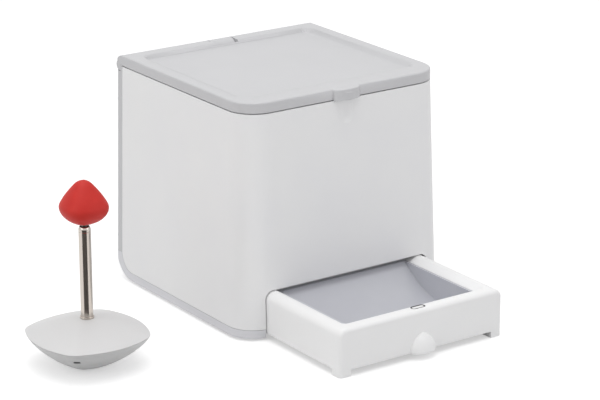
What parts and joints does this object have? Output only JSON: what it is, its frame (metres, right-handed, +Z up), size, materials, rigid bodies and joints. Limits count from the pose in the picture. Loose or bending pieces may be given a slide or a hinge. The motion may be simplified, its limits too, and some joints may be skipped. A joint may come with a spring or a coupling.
{
  "type": "remote treat dispenser",
  "caption": "Boxy treat dispenser with a hinged tray-like lid, hopper and pocketed disc, a sliding treat drawer, and a separate domed touch target on a telescopic pole.",
  "frame": {"origin": "middle of the dispenser's base on the surface that it stands on, below the middle of the lid", "axes": "+Z up, the drawer opens towards -Y, +X to the right when facing along +Y from the front; the touch target stands at -X"},
  "size_m": [0.3248, 0.269, 0.1725],
  "materials": {
    "white_shell": "fine satin, white",
    "pale_grey_plastic": "fine satin, pale grey",
    "liner_plastic": "smooth satin, cool grey",
    "inner_plastic": "smooth, easy to wipe",
    "disc_plastic": "smooth dark grey",
    "gear_plastic": "natural acetal",
    "dark_plastic": "moulded, satin",
    "board_green": "solder mask",
    "cell_jacket": "printed jacket, left plain",
    "black_rubber": "matt",
    "grey_rubber": "matt",
    "red_rubber": "soft, matt red",
    "pole_steel": "drawn tube, nickel plated",
    "pin_steel": "ground",
    "screw_steel": "zinc plated",
    "motor_steel": "drawn can",
    "bush_brass": "turned",
    "contact_brass": "plated",
    "ballast_iron": "as cast"
  },
  "bodies": {
    "housing": {"front_shell": "white_shell", "base_tray": "pale_grey_plastic", "rear_cover": "pale_grey_plastic", "rubber_feet": "black_rubber", "base_screws": "screw_steel", "rear_screws": "screw_steel", "deck_screws": "screw_steel", "hopper": "inner_plastic", "drop_shield": "inner_plastic", "shaft_bushing": "bush_brass", "gear_motor": "motor_steel", "drive_deck": "dark_plastic", "treat_chute": "inner_plastic", "drawer_bay": "dark_plastic", "control_board": "board_green", "tray_motor": "motor_steel", "battery_box": "dark_plastic", "battery_contacts": "contact_brass", "battery_cells": "cell_jacket", "speaker": "dark_plastic", "switch_board": "board_green"},
    "lid_set": {"lid": "pale_grey_plastic", "lid_seal": "grey_rubber", "hinge_pin": "pin_steel"},
    "drawer_set": {"drawer": "white_shell", "drawer_liner": "liner_plastic", "rim_plug": "white_shell", "tray_rack": "gear_plastic"},
    "disc_set": {"dispensing_disc": "disc_plastic", "disc_hub": "disc_plastic", "stirrer": "disc_plastic", "disc_shaft": "pin_steel", "drive_gear": "gear_plastic"},
    "motor_pinion_set": {"motor_pinion": "bush_brass", "motor_shaft": "pin_steel"},
    "tray_pinion_set": {"tray_pinion": "gear_plastic", "tray_shaft": "pin_steel"},
    "battery_door_set": {"battery_door": "pale_grey_plastic"},
    "button_set": {"power_button": "dark_plastic"},
    "target": {"target_lower_shell": "white_shell", "target_cover": "white_shell", "target_screws": "screw_steel", "target_ballast": "ballast_iron", "target_foot": "black_rubber", "target_board": "board_green", "target_cell": "cell_jacket", "charge_socket": "dark_plastic", "pole_ferrule": "pole_steel", "pole_outer": "pole_steel"},
    "pole_middle_set": {"pole_middle": "pole_steel"},
    "pole_inner_set": {"pole_inner": "pole_steel", "target_tip": "red_rubber", "tip_core": "dark_plastic"}
  },
  "joints": [
    {"name": "lid_hinge", "type": "hinge", "parent": "housing", "child": "lid_set", "pos_m": [0, 0.0833, 0.1642], "axis": [-1, 0, 0], "range_deg": [0, 95]},
    {"name": "drawer_slide", "type": "slide", "parent": "housing", "child": "drawer_set", "axis": [0, 1, 0], "range_m": [0, 0.0875]},
    {"name": "tray_pinion_spin", "type": "hinge", "parent": "housing", "child": "tray_pinion_set", "pos_m": [0.07525, -0.062, 0.0085], "axis": [0, 0, 1], "range_deg": [-720, 5]},
    {"name": "disc_spin", "type": "hinge", "parent": "housing", "child": "disc_set", "pos_m": [0, -0.008, 0.094], "axis": [0, 0, 1], "continuous": true},
    {"name": "motor_pinion_spin", "type": "hinge", "parent": "housing", "child": "motor_pinion_set", "pos_m": [0.02429, 0.00602, 0.0765], "axis": [0, 0, 1], "continuous": true},
    {"name": "button_press", "type": "slide", "parent": "housing", "child": "button_set", "axis": [0, -1, 0], "range_m": [0, 0.001], "stiffness_N_per_m": 300, "springref_m": -0.0005},
    {"name": "battery_door_off", "type": "slide", "parent": "housing", "child": "battery_door_set", "axis": [0, 1, 0], "range_m": [0, 0.06]},
    {"name": "target_lift", "type": "slide", "parent": "housing", "child": "target", "axis": [0, 0, 1], "range_m": [0, 0.3]},
    {"name": "pole_middle_slide", "type": "slide", "parent": "target", "child": "pole_middle_set", "axis": [0, 0, 1], "range_m": [0, 0.045]},
    {"name": "pole_inner_slide", "type": "slide", "parent": "pole_middle_set", "child": "pole_inner_set", "axis": [0, 0, 1], "range_m": [0, 0.045]}
  ],
  "couplings": [
    {"joint": "tray_pinion_spin", "follows": "drawer_slide", "rad_per_m": -142.86},
    {"joint": "motor_pinion_spin", "follows": "disc_spin", "ratio": -3.6667}
  ]
}
